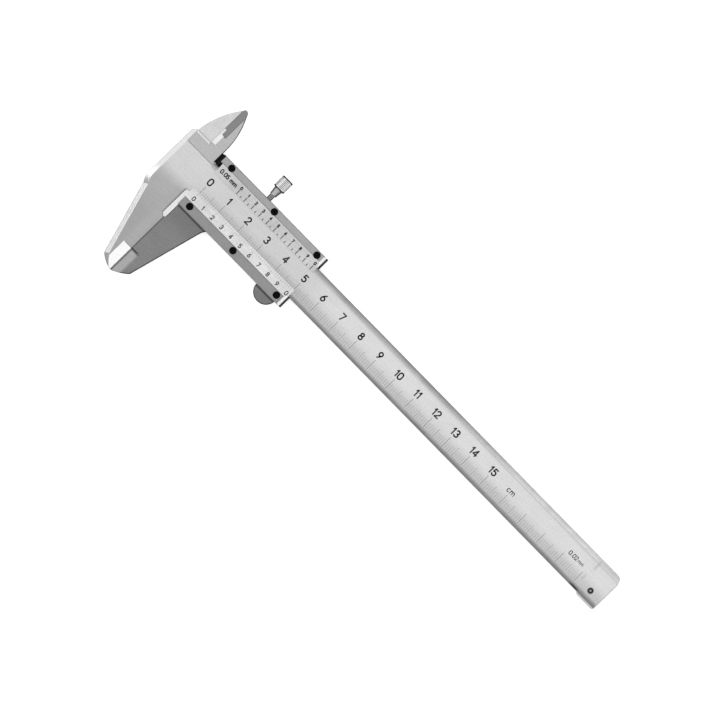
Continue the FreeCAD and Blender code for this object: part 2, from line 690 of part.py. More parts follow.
def make_plate_screw(name, x, y):
    """Low slotted screw that holds a vernier plate to its rail."""
    body = make_body(name)
    half = make_sketch(body, "XZ_Plane", name + "_half")
    draw_outline(half, [
        ("0", "screw_head_high"),
        ("0", "0 - screw_long"),
        ("screw_shank", "0 - screw_long"),
        ("screw_shank", "0"),
        ("screw_head", "0"),
        ("screw_head", "screw_head_high - edge_break"),
        ("screw_head - edge_break", "screw_head_high"),
    ])
    revolve(body, half, "V_Axis")
    slot = make_sketch(body, "XY_Plane", name + "_slot", "screw_head_high")
    draw_box(slot, "0 - screw_head", "screw_head", "0 - half_slot", "half_slot")
    cut(body, slot, "slot_deep")
    place(body, x, y, "plate_top")
    return body


def make_gib_set_screw(name, x):
    """Headless slotted screw that presses the leaf spring and the gib on to the beam."""
    body = make_body(name)
    half = make_sketch(body, "XY_Plane", name + "_half")
    draw_outline(half, [
        ("0", "gib_screw_tip"),
        ("gib_screw_radius - set_point", "gib_screw_tip"),
        ("gib_screw_radius", "gib_screw_tip + set_point"),
        ("gib_screw_radius", "gib_screw_end"),
        ("0", "gib_screw_end"),
    ])
    revolve(body, half, "V_Axis")
    slot = make_sketch(body, "XZ_Plane", name + "_slot", "0 - gib_screw_end")
    draw_box(slot, "0 - gib_screw_radius", "gib_screw_radius", "0 - half_slot", "half_slot")
    cut(body, slot, "slot_deep", backwards=True)
    place(body, x, "0", "clamp_z")
    return body


def make_clamp_screw():
    """Screw with a straight-knurled head, turned by two fingers."""
    body = make_body("clamp_screw")
    half = make_sketch(body, "XY_Plane", "clamp_screw_half")
    draw_outline(half, [
        ("0", "spigot_tip"),
        ("clamp_spigot", "spigot_tip"),
        ("clamp_spigot", "stem_tip"),
        ("clamp_stem", "stem_tip"),
        ("clamp_stem", "neck_start"),
        ("clamp_neck", "neck_start"),
        ("clamp_collar", "head_start"),
        ("clamp_head - head_break", "head_start"),
        ("clamp_head", "head_start + head_break"),
        ("clamp_head", "head_end - head_break"),
        ("clamp_head - head_break", "head_end"),
        ("0", "head_end"),
    ])
    revolve(body, half, "V_Axis")
    groove = make_sketch(body, "XZ_Plane", "knurl_groove", "head_rim - head_end")
    draw_outline(groove, [
        ("clamp_head - knurl_deep", "0"),
        ("clamp_head + knurl_over", "0 - knurl_deep"),
        ("clamp_head + knurl_over", "knurl_deep"),
    ])
    first = cut(body, groove, "head_end - head_start - head_rim - head_rim", backwards=True)
    knurl = body.newObject("PartDesign::PolarPattern", "knurl")
    knurl.Originals = [first]
    knurl.Axis = (origin_item(body, "Y_Axis"), [""])
    knurl.Angle = 360
    knurl.Occurrences = int(value("knurl_count"))
    body.Tip = knurl
    doc.recompute()
    place(body, "clamp_x", "0", "clamp_z")
    return body


def make_clamp_shoe():
    """Brass pad on the clamp screw's spigot: it follows the screw but doesn't turn."""
    body = make_body("clamp_shoe")
    half = make_sketch(body, "XY_Plane", "clamp_shoe_half")
    draw_outline(half, [
        ("0", "shoe_bottom"),
        ("clamp_stem", "shoe_bottom"),
        ("clamp_stem", "shoe_top"),
        ("shoe_bore", "shoe_top"),
        ("shoe_bore", "shoe_bore_bottom"),
        ("0", "shoe_bore_bottom"),
    ])
    revolve(body, half, "V_Axis")
    place(body, "clamp_x", "0", "clamp_z")
    return body


def make_depth_rod_rivet(name, x):
    """Flush rivet through the slider's back and the depth rod."""
    body = make_body(name)
    half = make_sketch(body, "XZ_Plane", name + "_half")
    draw_outline(half, [
        ("0", "flush"),
        ("rivet_head", "flush"),
        ("rivet_head", "rivet_head_high - flush"),
        ("rivet_shank", "rivet_head_high - flush"),
        ("rivet_shank", "back_plate + rod_thick"),
        ("0", "back_plate + rod_thick"),
    ])
    revolve(body, half, "V_Axis")
    place(body, x, "rod_y")
    return body


def make_tail_screw():
    """Small slotted screw, sunk into the scale face, that holds the tail plate."""
    body = make_body("tail_screw")
    half = make_sketch(body, "XZ_Plane", "tail_screw_half")
    draw_outline(half, [
        ("0", "tail_screw_low"),
        ("tail_shank", "tail_screw_low"),
        ("tail_shank", "beam_front - tail_bore_deep"),
        ("tail_screw_head", "beam_front - tail_bore_deep"),
        ("tail_screw_head", "beam_front - flush"),
        ("0", "beam_front - flush"),
    ])
    revolve(body, half, "V_Axis")
    slot = make_sketch(body, "XY_Plane", "tail_screw_slot", "beam_front")
    draw_box(slot, "0 - tail_bore", "tail_bore", "0 - half_slot", "half_slot")
    cut(body, slot, "slot_deep")
    place(body, "tail_screw_x", "tail_screw_y")
    return body


def make_tail_pin():
    """Pin that keeps the tail plate square to the beam."""
    body = make_body("tail_pin")
    round_section = make_sketch(body, "XY_Plane", "tail_pin_section", "tail_pin_low")
    draw_circle(round_section, "0", "0", "tail_shank")
    pad(body, round_section, "tail_pin_high - tail_pin_low - flush")
    place(body, "tail_pin_x", "tail_pin_y")
    return body


# --- gib, spring, depth rod and tail plate ---------------------------------------------

def make_gib_strip():
    """Straight strip that takes up the play between the beam and the upper rail."""
    body = make_body("gib_strip")
    section = make_sketch(body, "YZ_Plane", "gib_section", "gib_left")
    draw_box(section, "gib_near", "gib_far", "gib_low", "gib_high")
    pad(body, section, "gib_right - gib_left")
    place(body)
    return body


def make_gib_spring():
    """Bowed leaf between the gib strip and the rail, with a hole for the clamp shoe."""
    body = make_body("gib_spring")
    bow = make_sketch(body, "XY_Plane", "spring_bow_outline", "gib_low")
    draw_outline(bow, [
        ("spring_left", "gib_far + fine_gap"),
        Bend("spring_radius", -1),
        ("spring_right", "gib_far + fine_gap"),
        ("spring_right", "gib_far + fine_gap + spring_thick"),
        Bend("spring_radius", 1),
        ("spring_left", "gib_far + fine_gap + spring_thick"),
    ])
    pad(body, bow, "gib_high - gib_low")
    hole = make_sketch(body, "XZ_Plane", "spring_hole_outline", "0 - rail_top")
    draw_circle(hole, "clamp_x", "clamp_z", "spring_hole")
    cut(body, hole, "through", backwards=True)
    place(body)
    return body


def make_depth_rod():
    """Flat rod in the groove of the beam's back, with a notched measuring end."""
    body = make_body("depth_rod")
    outline = make_sketch(body, "XY_Plane", "depth_rod_outline", "back_plate")
    draw_outline(outline, [
        ("rod_left", "rod_y - half_rod"),
        ("beam_end - rod_notch_long", "rod_y - half_rod"),
        ("beam_end", "rod_y - half_rod + rod_notch_wide"),
        ("beam_end", "rod_y + half_rod"),
        ("rod_left", "rod_y + half_rod"),
    ])
    pad(body, outline, "rod_thick")
    rivets = make_sketch(body, "XY_Plane", "depth_rod_holes", "back_plate + rod_thick")
    for x in RIVETS:
        draw_circle(rivets, x, "rod_y", "rivet_hole")
    cut(body, rivets, "rod_thick")
    place(body)
    return body


def make_tail_plate():
    """Plate on the beam's back: it guides the depth rod and stops the slider."""
    body = make_body("tail_plate")
    outline = make_sketch(body, "XY_Plane", "tail_plate_outline")
    draw_box(outline, "tail_left", "tail_right", "tail_low", "tail_high")
    pad(body, outline, "beam_back")
    channel = make_sketch(body, "YZ_Plane", "tail_channel_outline", "tail_left")
    draw_box(channel, "rod_y - half_groove", "rod_y + half_groove",
             "tail_channel", "beam_back + over")
    cut(body, channel, "tail_right - tail_left", backwards=True)
    holes = make_sketch(body, "XY_Plane", "tail_plate_holes", "beam_back")
    draw_circle(holes, "tail_screw_x", "tail_screw_y", "tail_hole")
    draw_circle(holes, "tail_pin_x", "tail_pin_y", "tail_hole")
    cut(body, holes, "beam_back")
    round_off(body, lambda middle, edge: edge.Length > value("beam_back") - 0.3
              and near(middle.z, "half_beam_back", 0.2)
              and abs(edge.tangentAt(edge.FirstParameter).z) > 0.9
              and (near(middle.x, "tail_left") or near(middle.x, "tail_right"))
              and (near(middle.y, "tail_low") or near(middle.y, "tail_high")),
              "tail_corner")
    place(body)
    return body


# --- the whole instrument --------------------------------------------------------------

def make_all():
    """Every piece of the caliper, closed and reading zero."""
    pieces = [
        make_main_beam(),
        make_slider_frame(),
        make_vernier_plate(
            "upper_vernier_plate", "rail_top", "upper_fold", "upper_edge",
            [("lower_plate_left - over", "upper_edge - over"), ("upper_scale_left", "upper_edge - over"),
             ("upper_scale_left", "upper_fold"), ("upper_plate_left", "upper_fold"),
             ("upper_plate_left", "rail_top + over"), ("lower_plate_left - over", "rail_top + over")],
            UPPER_SCREWS, False),
        make_vernier_plate(
            "lower_vernier_plate", "rail_bottom", "lower_fold", "lower_edge",
            [("lower_plate_left - over", "lower_edge - plate_corner"),
             ("lower_plate_left", "lower_edge - plate_corner"),
             Bend("plate_corner + arc_slack", -1),
             ("lower_plate_left + plate_corner", "lower_edge"),
             ("lower_plate_left + plate_corner", "lower_edge + over"),
             ("lower_plate_left - over", "lower_edge + over")],
            LOWER_SCREWS, False),
        make_gib_strip(),
        make_gib_spring(),
        make_clamp_screw(),
        make_clamp_shoe(),
        make_depth_rod(),
        make_tail_plate(),
        make_tail_screw(),
        make_tail_pin(),
    ]
    for number, (x, y) in enumerate(UPPER_SCREWS, start=1):
        pieces.append(make_plate_screw("upper_plate_screw_%d" % number, x, y))
    for number, (x, y) in enumerate(LOWER_SCREWS, start=1):
        pieces.append(make_plate_screw("lower_plate_screw_%d" % number, x, y))
    for number, x in enumerate(GIB_SCREWS, start=1):
        pieces.append(make_gib_set_screw("gib_set_screw_%d" % number, x))
    for number, x in enumerate(RIVETS, start=1):
        pieces.append(make_depth_rod_rivet("depth_rod_rivet_%d" % number, x))
    return pieces


def check(pieces):
    """Stop at the first object that FreeCAD left failed, empty or broken."""
    for item in doc.Objects:
        if "Invalid" in item.State or "Error" in item.State:
            raise RuntimeError("%s is %s" % (item.Name, item.State))
    for body in pieces:
        shape = body.Shape
        if shape.isNull() or not shape.isValid() or len(shape.Solids) != 1:
            raise RuntimeError("%s has no single valid solid" % body.Label)


pieces = make_all()
doc.recompute()
check(pieces)
os.makedirs("parts", exist_ok=True)
for body in pieces:
    body.Shape.exportStep(os.path.join("parts", body.Label + ".step"))
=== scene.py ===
import math

import bpy
from mathutils import Matrix, Vector


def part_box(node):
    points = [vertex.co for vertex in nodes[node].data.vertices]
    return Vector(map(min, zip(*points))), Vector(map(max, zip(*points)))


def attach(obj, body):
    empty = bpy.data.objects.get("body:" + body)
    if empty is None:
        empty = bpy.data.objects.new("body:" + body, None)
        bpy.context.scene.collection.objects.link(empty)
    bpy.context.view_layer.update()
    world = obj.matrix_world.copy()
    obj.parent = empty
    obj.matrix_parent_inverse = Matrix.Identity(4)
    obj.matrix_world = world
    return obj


# Looks of a closed vernier caliper lying on a white table between softboxes.
# Lengths are millimetres from the caliper's own datum: x along the beam from the zero
# line of the main scale, y across it from the middle of its figures, z up from the table.

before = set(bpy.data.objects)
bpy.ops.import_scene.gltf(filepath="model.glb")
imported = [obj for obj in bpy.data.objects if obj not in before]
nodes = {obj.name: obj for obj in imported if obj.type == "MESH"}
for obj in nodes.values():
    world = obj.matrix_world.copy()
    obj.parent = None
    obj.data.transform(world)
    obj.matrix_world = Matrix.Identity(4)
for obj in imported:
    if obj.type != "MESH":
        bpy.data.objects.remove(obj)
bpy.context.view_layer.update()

MM = 0.001
BEAM_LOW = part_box("main_beam")[0]
ZERO = BEAM_LOW + Vector((19.1, 49.3, 0)) * MM
ZERO.z = 0


def corners(node):
    """Lowest and highest corner of a CAD node, in millimetres from the datum."""
    low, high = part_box(node)
    return (low - ZERO) / MM, (high - ZERO) / MM


# --- node trees ------------------------------------------------------------------------

class Tree:
    """One procedural material: a Principled shader, and short ways to write its nodes."""

    def __init__(self, name, metallic=1.0):
        self.material = bpy.data.materials.new(name)
        self.material.use_nodes = True
        self.nodes = self.material.node_tree.nodes
        self.links = self.material.node_tree.links
        self.nodes.clear()
        output = self.nodes.new("ShaderNodeOutputMaterial")
        self.shader = self.nodes.new("ShaderNodeBsdfPrincipled")
        self.shader.inputs["Metallic"].default_value = metallic
        self.links.new(self.shader.outputs[0], output.inputs["Surface"])
        where = self.nodes.new("ShaderNodeTexCoord")
        self.normal = where.outputs["Normal"]
        self.spot = self.vector("SUBTRACT", where.outputs["Object"], tuple(ZERO))
        self.spot = self.vector("MULTIPLY", self.spot, (1 / MM,) * 3)
        self.x, self.y, self.z = self.split(self.spot)
        self.nx, self.ny, self.nz = self.split(self.normal)

    def put(self, socket, value):
        if isinstance(value, bpy.types.NodeSocket):
            self.links.new(value, socket)
        else:
            socket.default_value = value

    def split(self, value):
        node = self.nodes.new("ShaderNodeSeparateXYZ")
        self.put(node.inputs[0], value)
        return node.outputs

    def vector(self, operation, *values):
        node = self.nodes.new("ShaderNodeVectorMath")
        node.operation = operation
        for socket, value in zip(node.inputs, values):
            self.put(socket, value)
        return node.outputs[0]

    def math(self, operation, *values):
        node = self.nodes.new("ShaderNodeMath")
        node.operation = operation
        for socket, value in zip(node.inputs, values):
            self.put(socket, value)
        return node.outputs[0]

    def add(self, first, *others):
        for other in others:
            first = self.math("ADD", first, other)
        return first

    def times(self, first, *others):
        for other in others:
            first = self.math("MULTIPLY", first, other)
        return first

    def rise(self, value, low, high):
        """0 below low and 1 above high, or the other way round when low is the larger."""
        node = self.nodes.new("ShaderNodeMapRange")
        node.interpolation_type = "SMOOTHSTEP"
        self.put(node.inputs["Value"], value)
        node.inputs["From Min"].default_value = low
        node.inputs["From Max"].default_value = high
        return node.outputs[0]

    def band(self, value, low, high, soft=0.1):
        return self.times(self.rise(value, low - soft, low + soft),
                          self.rise(value, high + soft, high - soft))

    def blend(self, start, end, share):
        """start where share is 0 and end where it is 1."""
        node = self.nodes.new("ShaderNodeMix")
        self.put(node.inputs["Factor"], share)
        self.put(node.inputs[2], start)
        self.put(node.inputs[3], end)
        return node.outputs[0]

    def off_axis(self, node, *axes):
        """Distance from the middle of a CAD node, measured along these axes only."""
        low, high = corners(node)
        squares = []
        for axis in axes:
            middle = (low[axis] + high[axis]) / 2
            across = self.math("SUBTRACT", (self.x, self.y, self.z)[axis], middle)
            squares.append(self.times(across, across))
        return self.math("SQRT", self.add(*squares))

    def noise(self, size, detail=4.0, turn=0.0, shift=0.0, lift=0.55):
        """Noise whose grains have these millimetre lengths along x, y and z."""
        mapping = self.nodes.new("ShaderNodeMapping")
        mapping.vector_type = "TEXTURE"
        self.put(mapping.inputs["Vector"], self.spot)
        mapping.inputs["Location"].default_value = (shift, shift * 1.7, shift * 0.6)
        mapping.inputs["Rotation"].default_value = (0, 0, math.radians(turn))
        mapping.inputs["Scale"].default_value = size
        node = self.nodes.new("ShaderNodeTexNoise")
        node.inputs["Scale"].default_value = 1.0
        node.inputs["Detail"].default_value = detail
        node.inputs["Roughness"].default_value = lift
        self.put(node.inputs["Vector"], mapping.outputs[0])
        return self.math("SUBTRACT", node.outputs[0], 0.5)

    def finish(self, tone, tint, roughness, height, depth, soft_edge=0.0):
        """Colour, roughness and relief of the surface; returns the material."""
        self.put(self.shader.inputs["Base Color"], self.vector("SCALE", tint))
        scaled = self.shader.inputs["Base Color"].links[0].from_node
        self.put(scaled.inputs["Scale"], self.math("MINIMUM", tone, 0.98))
        self.put(self.shader.inputs["Roughness"], roughness)
        bump = self.nodes.new("ShaderNodeBump")
        bump.inputs["Strength"].default_value = 1.0
        bump.inputs["Distance"].default_value = depth * MM
        self.put(bump.inputs["Height"], height)
        if soft_edge:
            edge = self.nodes.new("ShaderNodeBevel")
            edge.samples = 6
            edge.inputs["Radius"].default_value = soft_edge * MM
            self.put(bump.inputs["Normal"], edge.outputs[0])
        self.put(self.shader.inputs["Normal"], bump.outputs[0])
        return self.material


NEUTRAL = (1.0, 1.0, 1.005)


def ground(tree, tone, tint, roughness, along="x", coarse=1.0, mottle=1.0, soft_edge=0.12,
           calm=0.0):
    """Ground or brushed metal: fine lines along one axis, smudges, specks and scratches.

    soft_edge rounds the shading of edges, in millimetres, and calm evens the tone out.
    """
    def lay(length, width):
        return (length, width, width) if along == "x" else (width, length, width)
    lines = tree.noise(lay(9 * coarse, 0.07 * coarse), 3)
    streaks = tree.noise(lay(26 * coarse, 0.45 * coarse), 5, shift=31)
    smudges = tree.noise((9, 5, 5), 4, turn=25, shift=70)
    grains = tree.noise((0.7, 0.5, 0.5), 3, shift=12)
    scratches = tree.rise(tree.noise((7, 0.09, 0.6), 2, turn=17, shift=5), 0.23, 0.27)
    crossing = tree.rise(tree.noise((5, 0.08, 0.6), 2, turn=-38, shift=44), 0.24, 0.28)
    marks = tree.math("MAXIMUM", scratches, crossing)
    uneven = tree.add(tree.times(lines, 0.16), tree.times(streaks, 0.28),
                      tree.times(smudges, 0.28 * mottle), tree.times(grains, 0.36 * mottle),
                      tree.times(marks, 0.07), 1.0)
    if calm:
        uneven = tree.blend(uneven, 1.0, calm)
    rough = tree.add(roughness, tree.times(streaks, 0.18), tree.times(smudges, 0.22),
                     tree.times(marks, -0.06))
    height = tree.add(lines, tree.times(streaks, 0.6), tree.times(grains, 0.25),
                      tree.times(marks, -0.5))
    return tree.finish(tree.times(tone, uneven), tint, rough, height, 0.012, soft_edge)


# --- the metals ------------------------------------------------------------------------

def beam_face(tree, face):
    """Tones of the level faces, all painted light and shade: lighter above the scale, darker
    towards the jaw, along the beam's edges, beside the slot and on the head above the beam.
    """
    # painted light: lighter along the beam away from the head
    face = tree.times(face, tree.blend(0.88, 1.0, tree.rise(tree.x, 44.0, 75.0)))
    # painted shade along the lower and upper edges of the beam
    face = tree.blend(face, 0.46, tree.rise(tree.y, -6.6, -7.4))
    face = tree.blend(face, 0.47, tree.rise(tree.y, 3.0, 4.4))
    # painted shade on the head, darker down the jaw
    at_head = tree.rise(tree.x, 12.0, -8.0)
    face = tree.blend(face, 0.545, at_head)
    for tone, start, end in [(0.365, -4.5, -12.0), (0.32, -12.0, -28.0)]:
        face = tree.blend(face, tone, tree.times(at_head, tree.rise(tree.y, start, end)))
    # painted shade beside the slot
    face = tree.blend(face, 0.35, tree.times(tree.band(tree.x, -7.5, -4.0, 1.5),
                                             tree.rise(tree.y, -8.0, -11.0)))
    # painted shade on the head above the beam
    upper_zone = tree.times(tree.rise(tree.x, -3.9, -4.3), tree.rise(tree.y, 4.8, 5.0))
    return tree.blend(face, 0.41, upper_zone)


def beam_slants(tree, face, upward):
    """The two long bevels, with painted shade darkening them towards their outer edges; the upper
    one is painted lighter towards the tail.
    """
    # painted light and shade on the slanted faces
    toward_tail = tree.rise(tree.x, 110.0, 190.0)
    upper_slant = tree.times(tree.rise(tree.ny, 0.12, 0.2), upward)
    slant_shade = tree.blend(tree.blend(0.60, 0.92, toward_tail), tree.blend(0.37, 0.78, toward_tail),
                      tree.rise(tree.y, 4.6, 5.8))
    face = tree.blend(face, slant_shade, upper_slant)
    lower_slant = tree.times(tree.rise(tree.ny, -0.12, -0.2), upward)
    slant_shade = tree.blend(0.62, 0.34, tree.rise(tree.y, -7.4, -8.7))
    return tree.blend(face, slant_shade, lower_slant)


def beam_stains(tree):
    """Faint stains near the tail, and a painted shadow on the lower edge."""
    high = tree.times(tree.band(tree.x, 201.9, 202.7, 0.5), tree.band(tree.y, 1.2, 5.2, 0.8))
    low = tree.times(tree.band(tree.x, 201.3, 201.9, 0.5), tree.band(tree.y, -4.6, -1.8, 0.8))
    # painted shadow on the lower edge near the tail
    edge = tree.times(tree.band(tree.x, 199.5, 203.5, 1.2), tree.rise(tree.y, -7.8, -8.6))
    return tree.math("MAXIMUM", tree.math("MAXIMUM", high, low), tree.times(edge, 3.2))


def beam_steel():
    """Fine ground steel: satin faces painted lighter towards the upper edge, long bevels with
    painted shade, polished head bevels and tip painted brighter as highlights, and painted dark
    edges.
    """
    tree = Tree("beam_steel")
    upward = tree.rise(tree.nz, 0.6, 0.8)
    tilted = tree.rise(tree.nz, 0.995, 0.985)
    # painted light: the face lighter towards its upper edge
    face = tree.blend(0.47, 0.60, tree.rise(tree.y, -6.5, -1.0))
    face = beam_slants(tree, beam_face(tree, face), upward)
    # painted highlights: the brow chamfer, the head's left bevel, brighter down the jaw, and the
    # thinned tip
    brow = tree.times(tree.rise(tree.y, 9.3, 9.5), tree.rise(tree.x, -9.0, -10.0),
                      tree.rise(tree.ny, 0.1, 0.2), upward)
    left_bevel = tree.times(tree.rise(tree.nx, -0.1, -0.2), upward, tree.rise(tree.y, 11.0, 10.0))
    thin_tip = tree.times(tree.rise(tree.nx, 0.1, 0.2), upward, tree.rise(tree.y, -30.0, -36.0))
    polished = tree.math("MAXIMUM", tree.math("MAXIMUM", left_bevel, brow), thin_tip)
    bevel_highlight_tone = tree.blend(0.47, 0.76, tree.rise(tree.y, -8.0, -14.0))
    # painted shade on the knife bevel, the back edge and beside the slot
    knife = tree.times(tree.rise(tree.nx, -0.1, -0.2), upward, tree.rise(tree.y, 11.5, 12.5))
    back_edge = tree.times(tilted, tree.rise(tree.nx, 0.2, 0.4), tree.rise(tree.y, 4.5, 5.5))
    beside_slot = tree.times(tree.band(tree.x, -5.1, -4.6, 0.25),
                             tree.band(tree.y, -20.5, -8.0, 0.8))
    # painted highlights on brow, left bevel and tip; painted shade on knife, back edge and slot
    # side
    for tone, share in [(bevel_highlight_tone, left_bevel), (0.84, brow), (0.74, thin_tip),
                        (0.16, knife), (0.16, back_edge), (0.22, beside_slot)]:
        face = tree.blend(face, tone, share)
    # darkened by the stains and by the painted shadow
    unstained_unshaded = tree.math("SUBTRACT", 1.0, tree.times(beam_stains(tree), 0.22))
    roughness = tree.blend(0.34, 0.24, polished)
    return ground(tree, tree.times(face, unstained_unshaded), NEUTRAL, roughness, soft_edge=0.35,
                  calm=tree.times(polished, 0.75))


def slider_steel():
    """Darker ground steel of the slider: painted lighter down the jaw, a painted highlight on the
    tip, painted dark edges, painted shadow under the plates, near-black painted shadow on the
    rail ends, and a brighter inside jaw.
    """
    tree = Tree("slider_steel")
    upward = tree.rise(tree.nz, 0.3, 0.5)
    tip = tree.times(tree.rise(tree.y, -37.9, -38.3), tree.rise(tree.nx, -0.1, -0.2))
    # painted light: lighter down the jaw
    face = tree.blend(0.175, 0.205, tree.rise(tree.y, -17.0, -25.0))
    # painted highlight on the thinned tip
    face = tree.blend(face, 0.29, tip)
    # painted shade on the tip's edge
    tip_edge = tree.times(tip, tree.rise(tree.x, -2.4, -2.8))
    face = tree.blend(face, 0.12, tip_edge)
    # painted shade along the top of the thinned tip
    tip_top = tree.times(tree.band(tree.y, -38.6, -38.0, 0.2), tree.rise(tree.x, 1.2, 0.2))
    face = tree.blend(face, 0.12, tip_top)
    # painted shade along the jaw's left edge
    jaw_edge = tree.times(tree.rise(tree.x, -2.5, -3.2), tree.band(tree.y, -38.0, -15.0))
    face = tree.blend(face, 0.11, jaw_edge)
    # painted shadow under the lower plate
    under_plate = tree.times(upward, tree.rise(tree.y, -15.1, -14.6),
                             tree.rise(tree.y, -13.0, -13.5))
    face = tree.blend(face, 0.07, under_plate)
    # painted shade on the tilted edges below the plate
    outline = tree.times(upward, tree.rise(tree.nz, 0.96, 0.85), tree.rise(tree.y, -14.0, -14.2))
    face = tree.blend(face, 0.10, outline)
    horn = tree.times(tree.rise(tree.y, 10.3, 10.5), tree.rise(tree.x, -8.0, -9.0))
    face = tree.blend(face, 0.57, horn)
    # near-black painted shadow on the left rail end
    rail_end = tree.times(tree.rise(tree.x, -1.6, -1.9), tree.rise(tree.y, 5.6, 5.8),
                          tree.rise(tree.x, -8.0, -6.0), upward)
    face = tree.blend(face, 0.012, rail_end)
    # painted shadow on the right end strip
    end_strip = tree.times(upward, tree.rise(tree.x, 50.0, 50.4))
    face = tree.blend(face, 0.05, end_strip)
    return ground(tree, face, NEUTRAL, 0.40, along="y", coarse=1.2, mottle=1.5, soft_edge=0.25)


def tail_steel():
    """Plain ground steel of the tail plate, with painted shade darkening its lower faces."""
    tree = Tree("tail_steel")
    return ground(tree, tree.blend(0.50, 0.58, tree.rise(tree.z, 0.4, 1.5)), NEUTRAL, 0.36,
                  along="y", coarse=0.7)


def satin_chrome():
    """Matt chrome of the vernier plates: light scale bands and darker flat bands, with painted
    light and shade making the lower plate's scale band brighter and its flat band darker than the
    upper plate's, and painted shade along the folds.
    """
    tree = Tree("satin_chrome")
    level = tree.rise(tree.nz, 0.985, 0.995)
    # painted light and shade: the lower plate's scale band brighter and its flat band darker than
    # the upper plate's
    lower = tree.rise(tree.y, 0.0, -2.0)
    grey = tree.blend(0.35, 0.27, lower)
    # painted shade along the folds of the flat bands
    fold = tree.math("MAXIMUM", tree.band(tree.y, 8.15, 8.45),
                     tree.band(tree.y, -10.55, -10.25))
    grey = tree.times(grey, tree.blend(1.0, 0.72, tree.times(fold, level)))
    face = tree.blend(tree.blend(0.74, 0.84, lower), grey, level)
    end_bevel = tree.times(tree.rise(tree.nx, 0.15, 0.25), tree.rise(tree.nz, 0.5, 0.7))
    face = tree.blend(face, 0.72, end_bevel)
    return ground(tree, face, NEUTRAL, 0.42, coarse=0.8, mottle=1.3, soft_edge=0.08)


def black_oxide():
    """Blackened screws, turned, with a faint shine where they are rubbed."""
    tree = Tree("black_oxide")
    rubbed = tree.noise((0.5, 0.5, 0.5), 3, shift=8)
    turned = tree.noise((0.06, 0.06, 0.06), 2, shift=3)
    tone = tree.add(0.005, tree.times(rubbed, 0.008), tree.times(turned, 0.004))
    roughness = tree.add(0.36, tree.times(rubbed, 0.3))
    return tree.finish(tone, (1.0, 1.0, 1.03), roughness, turned, 0.01, 0.06)


def sunk_screw():
    """Dark tail screw, bright in the middle and darker towards its rim."""
    tree = Tree("sunk_screw")
    radius = tree.off_axis("tail_screw", 0, 1)
    rubbed = tree.noise((0.4, 0.4, 0.4), 3, shift=4)
    tone = tree.blend(0.30, 0.03, tree.rise(radius, 0.25, 0.55))
    tone = tree.times(tone, tree.add(1.0, tree.times(rubbed, 0.5)))
    roughness = tree.add(0.36, tree.times(rubbed, 0.3))
    return tree.finish(tone, NEUTRAL, roughness, rubbed, 0.01, 0.05)


def polished_steel():
    """Bright turned steel of the clamp screw, with painted shade in the grooves of its knurl, on
    its rims, on its neck and on the stem under the head.
    """
    tree = Tree("polished_steel")
    radius = tree.off_axis("clamp_screw", 0, 2)
    below_top = tree.math("SUBTRACT", corners("clamp_screw")[1].y, tree.y)
    groove = tree.times(tree.rise(radius, 2.49, 2.36), tree.rise(radius, 2.0, 2.2),
                        tree.rise(below_top, 5.0, 4.6), tree.rise(below_top, 0.2, 0.6))
    rims = tree.math("MAXIMUM", tree.rise(below_top, 0.7, 0.5),
                     tree.band(below_top, 4.7, 5.6, 0.1))
    neck = tree.rise(below_top, 5.2, 5.4)
    stem = tree.rise(below_top, 8.0, 8.3)
    rings = tree.noise((40, 0.12, 40), 3, shift=9)
    smudges = tree.noise((1.4, 1.1, 1.4), 3, shift=21)
    # painted shade on the rims, neck, stem and knurl grooves
    tone = tree.blend(0.66, 0.12, rims)
    tone = tree.blend(tone, 0.42, neck)
    tone = tree.blend(tone, 0.15, stem)
    tone = tree.blend(tone, 0.24, groove)
    tone = tree.times(tone, tree.add(1.0, tree.times(rings, 0.35), tree.times(smudges, 0.25)))
    roughness = tree.add(0.24, tree.times(smudges, 0.2), tree.times(rings, 0.1))
    return tree.finish(tone, NEUTRAL, roughness, rings, 0.012, 0.05)


def spring_steel():
    """Blued spring steel of the leaf, the tail pin and the rivets, with painted shade darkening
    it lower down.
    """
    tree = Tree("spring_steel")
    return ground(tree, tree.blend(0.30, 0.36, tree.rise(tree.z, 0.2, 2.0)),
                  (0.96, 0.98, 1.03), 0.32, coarse=0.6, soft_edge=0.05)


def plain_brass():
    """Sawn and drawn brass of the gib strip and the clamp shoe, with painted shade darkening it
    lower down.
    """
    tree = Tree("plain_brass")
    return ground(tree, tree.blend(0.62, 0.70, tree.rise(tree.z, 1.5, 5.0)),
                  (1.0, 0.76, 0.38), 0.36, coarse=0.8, soft_edge=0.06)


def black_fill():
    """Black paint in the engraved lines and figures, thin and worn in places."""
    tree = Tree("black_fill", metallic=0.0)
    worn = tree.noise((1.6, 1.1, 1.1), 4, shift=15)
    grain = tree.noise((0.12, 0.12, 0.12), 3, shift=2)
    tone = tree.add(0.04, tree.times(tree.rise(worn, 0.06, 0.22), 0.09),
                    tree.times(grain, 0.03))
    roughness = tree.add(0.62, tree.times(grain, 0.3))
    return tree.finish(tone, NEUTRAL, roughness, grain, 0.01)


def faint_fill():
    """Thin grey fill of the lighter marks."""
    tree = Tree("faint_fill", metallic=0.0)
    worn = tree.noise((2.2, 1.3, 1.3), 4, shift=23)
    grain = tree.noise((0.12, 0.12, 0.12), 3, shift=6)
    tone = tree.add(0.20, tree.times(worn, 0.25), tree.times(grain, 0.05))
    roughness = tree.add(0.6, tree.times(grain, 0.3))
    return tree.finish(tone, NEUTRAL, roughness, grain, 0.01)


METALS = {
    "ground_steel": beam_steel(),
    "slider_steel": slider_steel(),
    "satin_steel": satin_chrome(),
    "knurled_steel": polished_steel(),
    "black_screws": black_oxide(),
    "spring_steel": spring_steel(),
    "brass": plain_brass(),
}
for node in nodes.values():
    for slot in node.material_slots:
        slot.material = METALS[slot.material.name.split(".")[0]]

